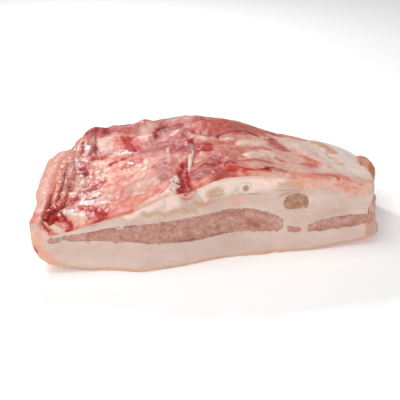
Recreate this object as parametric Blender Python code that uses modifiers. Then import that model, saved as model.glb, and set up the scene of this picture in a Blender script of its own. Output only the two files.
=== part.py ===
"""A raw pork jowl: a slab of cheek, cut straight along its front, that lies on its skin.

The slab is a stack of four layers with the same outline. From below they are the back fat with
the rind, a streak of lean, a second layer of fat, and the loose lean on top. The rind turns up at
both ends, so the back fat is a shallow tray and the other layers lie in it. A gland sits in the
second layer of fat, where the front cut opens it.

The tables below are in millimetres. A share is a part of the length, from 0 at the left end to 1
at the right end, or of the depth, from 0 at the front cut to 1 at the back.
"""
import math

import bmesh
import bpy
import numpy as np

MM = 0.001
GAP = 0.3  # left between layers that touch

# Outline seen from above. Both ends lean over to the right towards the back.
LEFT_END = ((0.0, -150.5), (0.15, -145.5), (0.5, -140.5), (1.0, -134))  # x by share of the depth
RIGHT_END = ((0.0, 125), (0.5, 137), (0.85, 149), (1.0, 151))
FRONT_LINE = ((0.0, -71), (0.15, -73), (0.33, -76), (0.46, -68), (0.58, -61), (0.8, -64.5), (1.0, -60))
BACK_LINE = ((0.0, 72), (0.14, 78), (0.28, 77.5), (0.47, 70), (0.7, 57), (0.9, 50), (1.0, 46))
CORNER_RADII = {"front_left": 3.0, "back_left": 38.0, "front_right": 5.0, "back_right": 26.0}

# The rind turns up in an elliptical bend on the left, and lifts a little on the right.
BEND_LENGTH = 51.0
BEND_HEIGHT = 30.0
RIGHT_LIFT = 7.0
RIGHT_LIFT_START = 0.78

# The two upturned ends of the back fat. A foot is the line where an end wall meets the floor.
LEFT_FOOT = ((0.0, 17.0), (0.25, 14.5), (0.6, 18), (1.0, 21))  # distance from the left end
LEFT_WALL_TOP = ((0.0, 42), (0.4, 46), (0.8, 48), (1.0, 45))
LEFT_NOTCH = ((0.0, 6.0), (0.3, 2.2), (1.0, 2.2))  # how far the wall top stands off the meat
RIGHT_FOOT = 7.0
RIGHT_WALL_TOP = ((0.0, 37), (0.5, 43), (0.8, 42), (1.0, 34))
RIGHT_NOTCH = ((0.0, 1.2), (1.0, 1.2))

# Heights along the front cut and along the back, by share of the length.
LEAN_BOTTOM_FRONT = (
    (0.05, 26.5), (0.16, 27), (0.3, 22.3), (0.45, 17.5), (0.6, 20.3), (0.73, 17), (0.9, 17.5), (1.0, 20.5),
)
LEAN_TOP_FRONT = (
    (0.05, 29.0), (0.12, 33.3), (0.3, 37.4), (0.45, 38.8), (0.58, 40.6), (0.66, 38.5),
    (0.71, 31.5), (0.75, 21.5), (0.79, 21.0), (0.83, 28.5), (0.93, 29.8), (1.0, 27.5),
)
TOP_FRONT = (
    (0.05, 34.5), (0.1, 37), (0.2, 44.3), (0.3, 50.5), (0.34, 59), (0.38, 62.5), (0.47, 65),
    (0.53, 71), (0.65, 69.2), (0.76, 64.4), (0.8, 66), (0.86, 63.5), (0.92, 58.5), (1.0, 54),
)
LEAN_BOTTOM_BACK = ((0.0, 24), (0.3, 21), (0.7, 18), (1.0, 20))
LEAN_TOP_BACK = ((0.0, 31), (0.3, 35), (0.6, 31), (1.0, 27))
TOP_BACK = ((0.05, 50), (0.15, 60), (0.3, 65.5), (0.47, 70), (0.6, 65), (0.72, 56.5), (0.85, 50), (1.0, 39))
TOP_LEAN_THICKNESS = ((0.0, 2.8), (0.2, 8.5), (0.5, 13), (0.8, 13), (1.0, 10))  # by share of the depth
TOP_LEAN_TAPER = ((0.0, 0.75), (0.15, 0.9), (0.45, 1.2), (0.7, 1.0), (1.0, 0.45))  # by share of the length
THINNEST = 2.6

# Swells and hollows of the top: x, y, half width along x, half width along y, height.
TOP_RELIEF = (
    (15, 52, 30, 20, 6.5),  # the crest behind the middle
    (-78, 62, 34, 12, 3.5),  # roll along the back left edge
    (-42, 46, 20, 15, -4.5),  # hollow beside the crest
    (-95, -5, 34, 26, -3.0),  # shallow trough behind the left skin
    (-26, -38, 9, 26, -4.0),  # cleft that runs to the front edge
    (62, 10, 26, 18, 3.0),  # flat muscle right of the crest
)

# The lean on top ends on a slanting line near the right end, where the fat rises beside it.
LEAN_EDGE = (0.945, 0.79)  # share of the length at the front, at the back
LEAN_EDGE_NOTCH = 3.0

# The gland, cut open by the front face.
GLAND_CENTRE = (58.5, -58.0, 43.0)
GLAND_RADII = (12.6, 9.0, 7.6)
GLAND_DENT = (0.3, 0.28)  # width and depth of the dent between its two lobes, as shares of its radii
GLAND_RECESS = 1.2  # its cut face lies this far behind the fat

# The net that every layer is drawn on, before subdivision.
COLUMNS_BEFORE_EDGE = 18
COLUMNS_AFTER_EDGE = 2
ROWS = (0.0, 0.13, 0.29, 0.47, 0.66, 0.84, 1.0)

NAME = "raw_pork_jowl"


def read(table, share):
    """The value of a table of (share, value) pairs at one share."""
    places, values = zip(*table)
    return float(np.interp(share, places, values))


def mix(first, last, share):
    return first + (last - first) * share


def distance_to_share(distance, depth_share):
    """A distance along the length, as a share of the length at that depth."""
    return distance / (read(RIGHT_END, depth_share) - read(LEFT_END, depth_share))


def round_corner(from_end, from_side, radius):
    """Where a point lands when the square corner it is in becomes a quarter circle."""
    if from_end >= radius or from_side >= radius:
        return from_end, from_side
    a = 1 - from_end / radius
    b = 1 - from_side / radius
    return radius * (1 - a * math.sqrt(1 - b * b / 2)), radius * (1 - b * math.sqrt(1 - a * a / 2))


def outline(share, depth_share):
    """The place on the plan of a point of the net."""
    left, right = read(LEFT_END, depth_share), read(RIGHT_END, depth_share)
    front, back = read(FRONT_LINE, share), read(BACK_LINE, share)
    from_left, from_right = (right - left) * share, (right - left) * (1 - share)
    from_front, from_back = (back - front) * depth_share, (back - front) * (1 - depth_share)
    side = "front" if depth_share < 0.5 else "back"
    end = "left" if share < 0.5 else "right"
    from_end = from_left if end == "left" else from_right
    from_side = from_front if side == "front" else from_back
    new_end, new_side = round_corner(from_end, from_side, CORNER_RADII[side + "_" + end])
    x = left + new_end if end == "left" else right - new_end
    y = front + new_side if side == "front" else back - new_side
    return x, y


def underside(share, depth_share):
    """The rind: flat in the middle, bent up on the left, lifted on the right."""
    height = 0.0
    bend = distance_to_share(BEND_LENGTH, depth_share)
    if share < bend:
        height += BEND_HEIGHT * (1 - math.sqrt(1 - (1 - share / bend) ** 2))
    if share > RIGHT_LIFT_START:
        height += RIGHT_LIFT * ((share - RIGHT_LIFT_START) / (1 - RIGHT_LIFT_START)) ** 1.5
    return height


def lean_bottom(share, depth_share):
    return mix(read(LEAN_BOTTOM_FRONT, share), read(LEAN_BOTTOM_BACK, share), depth_share)


def lean_top(share, depth_share):
    top = mix(read(LEAN_TOP_FRONT, share), read(LEAN_TOP_BACK, share), depth_share)
    return max(top, lean_bottom(share, depth_share) + THINNEST)


def top(share, depth_share):
    """The upper surface of the slab, with its swells and hollows."""
    height = mix(read(TOP_FRONT, share), read(TOP_BACK, share), depth_share)
    x, y = outline(share, depth_share)
    for centre_x, centre_y, width_x, width_y, rise in TOP_RELIEF:
        falloff = ((x - centre_x) / width_x) ** 2 + ((y - centre_y) / width_y) ** 2
        height += rise * math.exp(-falloff)
    return max(height, lean_top(share, depth_share) + 2 * THINNEST)


def upper_fat_top(share, depth_share):
    thickness = read(TOP_LEAN_THICKNESS, depth_share) * read(TOP_LEAN_TAPER, share)
    height = top(share, depth_share) - max(thickness, THINNEST)
    return max(height, lean_top(share, depth_share) + THINNEST)


def net_columns(depth_share):
    """The columns that lie between the two feet, as shares of the length at one depth."""
    left = distance_to_share(read(LEFT_FOOT, depth_share), depth_share)
    right = 1 - distance_to_share(RIGHT_FOOT, depth_share)
    edge = mix(*LEAN_EDGE, depth_share)
    before = np.linspace(left, edge, COLUMNS_BEFORE_EDGE + 1)
    after = np.linspace(edge, right, COLUMNS_AFTER_EDGE + 1)
    return [*before, *after[1:]]


def layer(name, columns, lower, upper, creased_columns, soft_rim=1.0):
    """One layer: a block on the net, between a lower and an upper surface.

    columns(depth_share) gives the shares of the length, and lower and upper give the height of a
    column at a share of the length and of the depth. The upper rim and the creased columns stay
    sharp, and soft_rim says how sharp the lower rim stays, from 0 to 1.
    """
    count = len(columns(0.0)) - 1
    rows = len(ROWS) - 1
    block = bmesh.new()
    bmesh.ops.create_cube(block, size=1.0)
    for axis, pieces in ((0, count), (1, rows)):
        edges = [e for e in block.edges if abs(e.verts[0].co[axis] - e.verts[1].co[axis]) > 0.5]
        bmesh.ops.subdivide_edges(block, edges=edges, cuts=pieces - 1)
    spots = {}
    for vertex in block.verts:
        column = round((vertex.co.x + 0.5) * count)
        row = round((vertex.co.y + 0.5) * rows)
        spots[vertex] = (column, row, vertex.co.z > 0)
    crease = block.edges.layers.float.new("crease_edge")
    for edge in block.edges:
        (i0, j0, up0), (i1, j1, up1) = spots[edge.verts[0]], spots[edge.verts[1]]
        on_end = i0 == i1 and i0 in (0, count)
        on_side = j0 == j1 and j0 in (0, rows)
        if up0 and up1 and (on_end or on_side or (i0 == i1 and i0 in creased_columns)):
            edge[crease] = 1.0
        elif up0 == up1 and (on_end or on_side):
            edge[crease] = soft_rim
        elif up0 != up1 and on_side and i0 in creased_columns:
            edge[crease] = 1.0
    for vertex, (column, row, is_upper) in spots.items():
        depth_share = ROWS[row]
        share = columns(depth_share)[column]
        x, y = outline(share, depth_share)
        surface = upper if is_upper else lower
        vertex.co = (x * MM, y * MM, surface(column, share, depth_share) * MM)
    bmesh.ops.recalc_face_normals(block, faces=block.faces)
    mesh = bpy.data.meshes.new(name)
    block.to_mesh(mesh)
    block.free()
    mesh.shade_smooth()
    piece = bpy.data.objects.new(name, mesh)
    piece.parent = slab
    parts.objects.link(piece)
    smooth = piece.modifiers.new("flesh", "SUBSURF")
    smooth.levels = smooth.render_levels = 1
    return piece


def back_fat():
    """The tray: skin and fat under the whole slab, turned up at both ends."""

    def columns(depth_share):
        inner = net_columns(depth_share)
        left_wall = inner[0] - distance_to_share(read(LEFT_NOTCH, depth_share), depth_share)
        right_wall = inner[-1] + distance_to_share(read(RIGHT_NOTCH, depth_share), depth_share)
        return [0.0, left_wall, *inner, right_wall, 1.0]

    last = len(columns(0.0)) - 1

    def upper(column, share, depth_share):
        if column < 2:
            return read(LEFT_WALL_TOP, depth_share)
        if column > last - 2:
            return read(RIGHT_WALL_TOP, depth_share)
        return lean_bottom(share, depth_share)

    def lower(column, share, depth_share):
        return underside(share, depth_share)

    return layer("back_fat", columns, lower, upper, (1, 2, last - 2, last - 1), soft_rim=0.8)


def lean_streak():
    last = len(net_columns(0.0)) - 1

    def lower(column, share, depth_share):
        return lean_bottom(share, depth_share) + GAP

    def upper(column, share, depth_share):
        return lean_top(share, depth_share)

    return layer("lean_streak", net_columns, lower, upper, (0, last))


def upper_fat():
    """The second layer of fat, which rises to the top beyond the edge of the lean."""

    def columns(depth_share):
        inner = net_columns(depth_share)
        shoulder = inner[COLUMNS_BEFORE_EDGE] + distance_to_share(LEAN_EDGE_NOTCH, depth_share)
        return [*inner[:COLUMNS_BEFORE_EDGE + 1], shoulder, *inner[COLUMNS_BEFORE_EDGE + 1:]]

    last = len(columns(0.0)) - 1

    def lower(column, share, depth_share):
        return lean_top(share, depth_share) + GAP

    def upper(column, share, depth_share):
        if column <= COLUMNS_BEFORE_EDGE:
            return upper_fat_top(share, depth_share)
        return top(share, depth_share)

    return layer("upper_fat", columns, lower, upper, (0, COLUMNS_BEFORE_EDGE, last))


def top_lean():
    """The loose meat on top, thin at the front cut and thick under the crest."""

    def columns(depth_share):
        return net_columns(depth_share)[:COLUMNS_BEFORE_EDGE + 1]

    def lower(column, share, depth_share):
        return upper_fat_top(share, depth_share) + GAP

    def upper(column, share, depth_share):
        return top(share, depth_share)

    return layer("top_lean", columns, lower, upper, (0, COLUMNS_BEFORE_EDGE))


def two_lobed_ball(name, radii, collection):
    """A ball stretched to the three radii, with a dent in its underside between two lobes."""
    dent_width, dent_depth = GLAND_DENT
    ball = bmesh.new()
    bmesh.ops.create_uvsphere(ball, u_segments=16, v_segments=10, radius=1.0)
    for vertex in ball.verts:
        if vertex.co.z < 0:
            vertex.co.z *= 1 - dent_depth * math.exp(-((vertex.co.x / dent_width) ** 2))
    bmesh.ops.scale(ball, vec=[r * MM for r in radii], verts=ball.verts)
    bmesh.ops.translate(ball, vec=[c * MM for c in GLAND_CENTRE], verts=ball.verts)
    mesh = bpy.data.meshes.new(name)
    ball.to_mesh(mesh)
    ball.free()
    mesh.shade_smooth()
    piece = bpy.data.objects.new(name, mesh)
    piece.parent = slab
    collection.objects.link(piece)
    return piece


def gland(fat):
    """The gland, and the pocket that holds it in the fat."""
    pocket = two_lobed_ball("gland_pocket", [r + GAP for r in GLAND_RADII], cutters)
    pocket.hide_render = True
    pocket.display_type = "WIRE"
    cut = fat.modifiers.new("gland pocket", "BOOLEAN")
    cut.operation = "DIFFERENCE"
    cut.object = pocket
    piece = two_lobed_ball("gland", GLAND_RADII, parts)
    share = distance_to_share(GLAND_CENTRE[0] - read(LEFT_END, 0.0), 0.0)
    face = read(FRONT_LINE, share) + GLAND_RECESS
    body = bmesh.new()
    body.from_mesh(piece.data)
    everything = [*body.verts, *body.edges, *body.faces]
    sliced = bmesh.ops.bisect_plane(
        body, geom=everything, plane_co=(0, face * MM, 0), plane_no=(0, -1, 0), clear_outer=True
    )
    rim = [g for g in sliced["geom_cut"] if isinstance(g, bmesh.types.BMEdge)]
    bmesh.ops.edgeloop_fill(body, edges=rim)
    bmesh.ops.recalc_face_normals(body, faces=body.faces)
    body.to_mesh(piece.data)
    body.free()
    return piece


def flesh(name, colour, roughness):
    """A wet surface of one colour, given as linear red, green and blue."""
    material = bpy.data.materials.new(name)
    material.use_nodes = True
    shader = material.node_tree.nodes["Principled BSDF"]
    shader.inputs["Base Color"].default_value = (*colour, 1.0)
    shader.inputs["Roughness"].default_value = roughness
    shader.inputs["Metallic"].default_value = 0.0
    material.diffuse_color = (*colour, 1.0)
    return material


for old in list(bpy.data.objects):
    bpy.data.objects.remove(old, do_unlink=True)
parts = bpy.data.collections.new(NAME)
cutters = bpy.data.collections.new(NAME + "_cutters")
bpy.context.scene.collection.children.link(parts)
bpy.context.scene.collection.children.link(cutters)
slab = bpy.data.objects.new(NAME, None)
parts.objects.link(slab)

fat_layer = upper_fat()
pieces = {
    "back_fat": back_fat(),
    "lean_streak": lean_streak(),
    "upper_fat": fat_layer,
    "top_lean": top_lean(),
    "gland": gland(fat_layer),
}
finishes = {
    "back_fat": flesh("pork rind and back fat", (0.72, 0.54, 0.47), 0.45),
    "lean_streak": flesh("cut lean pork", (0.49, 0.25, 0.19), 0.5),
    "upper_fat": flesh("soft pork fat", (0.71, 0.56, 0.48), 0.4),
    "top_lean": flesh("wet loose lean", (0.58, 0.15, 0.12), 0.3),
    "gland": flesh("cut gland", (0.45, 0.26, 0.16), 0.5),
}
for name, piece in pieces.items():
    piece.data.materials.append(finishes[name])

# The origin is the middle of the whole box, on the surface that the slab lies on.
bpy.context.view_layer.update()
depsgraph = bpy.context.evaluated_depsgraph_get()
points = np.array([v.co for p in pieces.values() for v in p.evaluated_get(depsgraph).data.vertices])
middle = (points.min(axis=0) + points.max(axis=0)) / 2
slab.location = (-middle[0], -middle[1], -points.min(axis=0)[2])
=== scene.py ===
import math

import bmesh
import bpy
import numpy as np
from mathutils import Matrix, Vector, noise
from mathutils.bvhtree import BVHTree


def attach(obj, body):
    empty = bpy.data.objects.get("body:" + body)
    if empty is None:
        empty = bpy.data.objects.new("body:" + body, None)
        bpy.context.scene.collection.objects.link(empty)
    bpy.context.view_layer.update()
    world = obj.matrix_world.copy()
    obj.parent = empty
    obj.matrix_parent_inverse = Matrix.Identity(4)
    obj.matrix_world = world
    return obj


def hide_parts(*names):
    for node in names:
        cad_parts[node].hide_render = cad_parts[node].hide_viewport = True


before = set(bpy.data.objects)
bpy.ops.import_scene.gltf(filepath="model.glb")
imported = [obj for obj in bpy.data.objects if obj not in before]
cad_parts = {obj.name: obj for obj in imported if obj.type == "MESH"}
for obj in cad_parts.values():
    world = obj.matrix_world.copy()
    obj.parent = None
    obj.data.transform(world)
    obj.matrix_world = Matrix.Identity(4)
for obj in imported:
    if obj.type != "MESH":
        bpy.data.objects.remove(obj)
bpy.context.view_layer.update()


# ---- The streak of lean --------------------------------------------------------------------
# One muscle of the cheek, cut across its fibres. It grew together with the fat round it, so the
# layers meet without a gap, and one stroke of the knife cut them all: the cut is never quite flat.
MM = 0.001
GAP_REACH = 2.6 * MM  # gaps between the layers up to this wide are closed
SHARE_OF_GAP = 0.53  # and each of the two layers grows over this much of the gap
SHARP = math.radians(52)  # a sharper turn than this is the edge of a cut
SWAY = ((52, 1.5), (19, 0.7), (7, 0.22))  # width of each wave in the flesh, and how far it goes, in mm
NECK = (  # fat that splits the streak, as paths of (x, z) in mm with their half widths
    (((51, 27), (47, 12)), 2.4),
    (((68, 27), (63, 12)), 1.7),
    (((50, 27), (67, 26)), 2.3),
)

noise.seed_set(3)  # noise_vector starts from the clock unless it is given a seed


def tree_of(mesh):
    """The mesh's faces, ready to be searched for the nearest one or the first one on a line."""
    return BVHTree.FromPolygons([v.co for v in mesh.vertices], [p.vertices for p in mesh.polygons])


trees = {name: tree_of(node.data) for name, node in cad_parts.items()}


def nearest(places, *names):
    """The distance in millimetres from each place to the nearest of the named layers."""
    near = [[trees[name].find_nearest(place)[3] for place in places] for name in names]
    return np.min(near, axis=0) / MM


def places_of(mesh):
    """The mesh's vertices as rows of x, y and z in metres."""
    flat = np.empty(len(mesh.vertices) * 3)
    mesh.vertices.foreach_get("co", flat)
    return flat.reshape(-1, 3)


def move_to(mesh, places):
    mesh.vertices.foreach_set("co", places.ravel())
    mesh.update()


def gap_beyond(spot, face, others):
    """How far it is from a spot on a face to the layer that faces it, or None."""
    start = spot.lerp(face.calc_center_median(), 0.15)
    found = [tree.ray_cast(start, face.normal, GAP_REACH)[3] for tree in others]
    return min((distance for distance in found if distance is not None), default=None)


def grown(node, rim_sharpness):
    """A dense smooth copy of a CAD layer, grown together with the layers that it touches.

    The cut edges stay crisp. At the right end, where nothing was cut, fat and meat round off softly.
    """
    others = [tree for name, tree in trees.items() if name != node]
    body = bmesh.new()
    body.from_mesh(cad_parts[node].data)
    bmesh.ops.remove_doubles(body, verts=body.verts, dist=0.01 * MM)
    bmesh.ops.join_triangles(
        body, faces=body.faces, angle_face_threshold=math.radians(60), angle_shape_threshold=math.pi
    )
    crease = body.edges.layers.float.new("crease_edge")
    for edge in body.edges:
        if edge.calc_face_angle(0) > SHARP:
            joined = any(gap_beyond(f.calc_center_median(), f, others) for f in edge.link_faces)
            edge[crease] = 1.0 if joined else rim_sharpness
            at_end = edge.verts[0].co.x > 80 * MM and any(f.normal.x > 0.6 for f in edge.link_faces)
            upper = node in ("upper_fat", "top_lean") and all(f.normal.z > -0.5 for f in edge.link_faces)
            if at_end and upper:
                edge[crease] = 0.1
    closed = {}
    for vertex in body.verts:
        spot = vertex.co.copy()
        for face in vertex.link_faces:
            gap = gap_beyond(vertex.co, face, others)
            if gap is not None:
                still = SHARE_OF_GAP * gap - (spot - vertex.co).dot(face.normal)
                spot += face.normal * max(still, 0)
        closed[vertex] = spot
    for vertex, spot in closed.items():
        vertex.co = spot
    coarse = bpy.data.meshes.new(node + "_cage")
    body.to_mesh(coarse)
    body.free()
    cage = bpy.data.objects.new(node + "_cage", coarse)
    bpy.context.scene.collection.objects.link(cage)
    smooth = cage.modifiers.new("grown", "SUBSURF")
    smooth.levels = smooth.render_levels = 3
    depsgraph = bpy.context.evaluated_depsgraph_get()
    mesh = bpy.data.meshes.new_from_object(cage.evaluated_get(depsgraph))
    bpy.data.objects.remove(cage)
    places = places_of(mesh)
    for wave, amount in SWAY:
        strays = np.array([noise.noise_vector(Vector(p) / (wave * MM)) for p in places])
        strays[:, 2] *= np.clip(places[:, 2] / (8 * MM), 0, 1)  # the underside stays flat
        places = places + strays * amount * MM
    move_to(mesh, places)
    mesh.shade_smooth()
    mesh.set_sharp_from_angle(angle=math.radians(40))
    return mesh


def piece_of(name, mesh, material, slot, *nodes):
    """Makes a mesh a finished piece, in place of the CAD nodes that are named."""
    mesh.name = name
    mesh.materials.clear()
    mesh.materials.append(material)
    piece = bpy.data.objects.new(name, mesh)
    bpy.context.scene.collection.objects.link(piece)
    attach(piece, "root")
    if nodes:
        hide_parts(*nodes)


def linear(colour):
    """An sRGB hex colour as linear red, green, blue and alpha."""
    parts = [int(colour[i:i + 2], 16) / 255 for i in (1, 3, 5)]
    return (*[c / 12.92 if c <= 0.04045 else ((c + 0.055) / 1.055) ** 2.4 for c in parts], 1.0)


def add(tree, kind, out, inputs, stops=(), **settings):
    """Adds a node with its settings and links, and returns one of its outputs.

    A text as an input means the mesh's channel of that name.
    """
    node = tree.nodes.new(kind)
    for name, value in settings.items():
        setattr(node, name, value)
    for count, (place, colour) in enumerate(stops):
        elements = node.color_ramp.elements
        stop = elements[count] if count < 2 else elements.new(place)
        stop.position = place
        stop.color = linear(colour)
    for name, value in inputs.items():
        if isinstance(value, str):
            value = add(tree, "ShaderNodeAttribute", "Fac", {}, attribute_name=value)
        if isinstance(value, bpy.types.NodeSocket):
            tree.links.new(value, node.inputs[name])
        else:
            node.inputs[name].default_value = value
    return node.outputs[out]


def along(spots, path):
    """The distance from each spot to a path on the same plane."""
    ends = [np.array(end, float) for end in path]
    far = np.full(len(spots), np.inf)
    for start, end in zip(ends, ends[1:] or ends):
        run = end - start
        share = np.clip((spots - start) @ run / max(run @ run, 1e-9), 0, 1)
        far = np.minimum(far, np.linalg.norm(spots - start - share[:, None] * run, axis=1))
    return far


def eased(low, high, values):
    """0 below low, 1 above high, and a smooth rise between them."""
    share = np.clip((values - low) / (high - low), 0, 1)
    return share * share * (3 - 2 * share)


def waves(spots, width, seed, stretch=(1, 1)):
    """Smooth noise from about -1 to 1, with waves of that width, longer along a stretched axis."""
    steps = spots / (np.array(stretch) * width)
    return np.array([noise.noise(Vector((x, y, seed))) for x, y in steps]) * 1.6


def strayed(spots, width, amount, seed):
    """The spots moved by smooth noise, so that what is drawn from them gets an uneven outline."""
    moves = [waves(spots, width, seed + turn) for turn in (0.5, 17.5)]
    return spots + np.stack(moves, axis=1) * amount


def painted(spots, strokes, softness=0.6):
    """How much lies on each spot of strokes given as (path, half width)."""
    most = np.zeros(len(spots))
    for path, half_width in strokes:
        most = np.maximum(most, 1 - eased(1 - softness, 1 + softness, along(spots, path) / half_width))
    return most


def record_on(mesh, **channels):
    """Keeps a value for each vertex under a name that the material reads."""
    for name, values in channels.items():
        mesh.attributes.new(name, "FLOAT", "POINT").data.foreach_set("value", values.astype(np.float32))


def wet_tissue(name, roughness, film, scatter):
    """A material for raw tissue, damp with a film of its own juice. Light sinks a little into it.

    Flesh bends light like water with some protein in it, 1.4, and the juice a little less, 1.36.
    """
    material = bpy.data.materials.new(name)
    material.use_nodes = True
    tree = material.node_tree
    shader = tree.nodes["Principled BSDF"]
    shader.inputs["IOR"].default_value = 1.4
    shader.inputs["Roughness"].default_value = roughness
    shader.inputs["Coat Weight"].default_value = film
    shader.inputs["Coat Roughness"].default_value = 0.14
    shader.inputs["Coat IOR"].default_value = 1.36
    shader.inputs["Subsurface Weight"].default_value = scatter
    shader.inputs["Subsurface Radius"].default_value = (1.0, 0.45, 0.3)
    shader.inputs["Subsurface Scale"].default_value = 1.5 * MM
    return material, tree, shader, add(tree, "ShaderNodeTexCoord", "Object", {})


def grain_of(tree, spot, widths, detail=4.0, roughness=0.6, distortion=0.0):
    """Cloudy noise from 0 to 1 whose patches have those widths in millimetres along x, y and z."""
    scaled = add(tree, "ShaderNodeMapping", 0, {"Vector": spot, "Scale": [1 / (w * MM) for w in widths]})
    noisy = add(tree, "ShaderNodeTexNoise", "Fac", {
        "Vector": scaled, "Scale": 1.0, "Detail": detail, "Roughness": roughness, "Distortion": distortion,
    })
    return add(tree, "ShaderNodeMapRange", 0, {"Value": noisy, "From Min": 0.28, "From Max": 0.72})


def shifted(tree, value, grain, amount):
    """A value that the grain moves up and down by half the amount."""
    centred = add(tree, "ShaderNodeMath", 0, {0: grain, 1: 0.5}, operation="SUBTRACT")
    return add(tree, "ShaderNodeMath", 0, {0: centred, 1: amount, 2: value}, operation="MULTIPLY_ADD")


def lean_depth(mesh, inside):
    """How many millimetres each vertex lies inside the lean; below nought in the fat.

    The streak's edge frays into the fat along fine strands, so the lean is painted by this depth
    on all three layers that meet at the cut.
    """
    places = places_of(mesh)
    depth = nearest(places, "back_fat", "upper_fat") if inside else -nearest(places, "lean_streak")
    front = strayed(places[:, [0, 2]] / MM, 5, 1.3, 2)
    return depth - 8 * painted(front, NECK)


def cut_face(tree, spot, fat):
    """The colour of the knife's cut: lean over the colour of the fat, by the lean_depth channel.

    A Mix of colours has its share at input 0, and the colours below and above at 6 and 7.
    """
    strands = grain_of(tree, spot, (2.4, 2.4, 2.8), 4.0, 0.65)
    clouds = grain_of(tree, spot, (9, 9, 7), 3.0)
    edge = shifted(tree, shifted(tree, "lean_depth", strands, 1.8), clouds, 3.6)
    share = add(
        tree, "ShaderNodeMapRange", 0, {"Value": edge, "From Min": -0.5, "From Max": 0.8},
        interpolation_type="SMOOTHSTEP",
    )
    bundles = grain_of(tree, spot, (1.5, 1.5, 2.2))
    blotches = shifted(tree, grain_of(tree, spot, (6, 6, 4), 6.0, 0.68), bundles, 0.3)
    lean = add(tree, "ShaderNodeValToRGB", "Color", {"Fac": blotches}, stops=(
        (0.0, "#A0624F"), (0.35, "#B27A68"), (0.65, "#C08E7F"), (1.0, "#D6AFA2"),
    ))
    bordering = add(
        tree, "ShaderNodeMapRange", 0,
        {"Value": edge, "From Min": 0.6, "From Max": 3.0, "To Min": 0.3, "To Max": 0.0},
    )
    widths = (3.333, 3.333, 5.263)  # of the bundles that the threads of fat run between, in mm
    scaled = add(tree, "ShaderNodeMapping", 0, {"Vector": spot, "Scale": [1 / (w * MM) for w in widths]})
    threads = add(
        tree, "ShaderNodeTexVoronoi", "Distance", {"Vector": scaled, "Scale": 1.0, "Randomness": 1.0},
        feature="DISTANCE_TO_EDGE",
    )
    webs = add(
        tree, "ShaderNodeMapRange", 0, {"Value": threads, "From Max": 0.16, "To Min": 0.34, "To Max": 0.0}
    )
    webs = add(tree, "ShaderNodeMath", 0, {0: webs, 1: clouds}, operation="MULTIPLY")
    for amount, colour in ((bordering, "#A1645F"), (webs, "#E2C3B4"), ("gash", "#9C4A44")):
        lean = add(tree, "ShaderNodeMix", 2, {0: amount, 6: lean, 7: linear(colour)}, data_type="RGBA")
    return add(tree, "ShaderNodeMix", 2, {0: share, 6: fat, 7: lean}, data_type="RGBA")


def fat_colour(tree, spot, pale, deep):
    """Fat in two shades, in soft patches with faint strands."""
    patches = shifted(tree, grain_of(tree, spot, (26, 26, 12), 5.0), grain_of(tree, spot, (3, 3, 4)), 0.25)
    return add(tree, "ShaderNodeMix", 2, {0: patches, 6: linear(pale), 7: linear(deep)}, data_type="RGBA")


def ripple(tree, shader, heights, depth):
    """Fine relief, too small for the mesh."""
    bump = add(tree, "ShaderNodeBump", "Normal", {"Height": heights, "Distance": depth * MM, "Strength": 1.0})
    tree.links.new(bump, shader.inputs["Normal"])
    tree.links.new(bump, shader.inputs["Coat Normal"])


# Lean cut across its fibres looks short and velvety, brownish pink with pale webs of fat between
# the bundles. It is damp but hardly shines.
material, tree, shader, spot = wet_tissue("raw lean pork, knife cut", 0.45, 0.2, 0.12)
colour = cut_face(tree, spot, fat_colour(tree, spot, "#DDC5B9", "#CDB0A2"))
tree.links.new(colour, shader.inputs["Base Color"])
ripple(tree, shader, grain_of(tree, spot, (1.1, 1.1, 1.6)), 0.3)
lean = grown("lean_streak", 0.42)
front = strayed(places_of(lean)[:, [0, 2]] / MM, 6, 0.8, 13)
gashes = painted(front, (
    (((-33, 19.5), (-20, 16.5), (-8, 17.5), (3, 20)), 0.9),
    (((-104, 35), (-83, 37), (-61, 38)), 0.9),
    (((20, 28), (29, 24)), 2.2),
))
record_on(lean, lean_depth=lean_depth(lean, inside=True), gash=0.75 * gashes)
piece_of("lean_streak_cut", lean, material, "cut_lean", "lean_streak")


# ---- Back fat and rind ---------------------------------------------------------------------
# The firm fat under the skin, pale and dense, and the skin itself, scalded and scraped. The skin
# shows as a tan line along the cut, and it wraps up over both ends.
RIND = 2.4  # thickness of the skin in mm
WALL = ((((-145, -70), (-139, -35), (-131, 18), (-119, 50)), 22),)  # the skin wall, on the plan
DENT_IN_WALL = ((((-147, -56), (-144, -42)), 9),)  # where it leans in, behind the front corner
TOE = ((((128, -60), (132, -44)), 9),)  # the foot of the right end, which spreads at the front
BELLY = ((((-62, 2), (-8, 2)), 14), (((-8, 0), (30, 2)), 7))  # where the fat sags out, on the front

skin_faces = [
    face.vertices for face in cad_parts["back_fat"].data.polygons
    if face.normal.z < -0.3 or (face.normal.x * face.center.x > 0.5 * abs(face.center.x))
]
trees["skin"] = BVHTree.FromPolygons([v.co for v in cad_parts["back_fat"].data.vertices], skin_faces)

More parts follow.
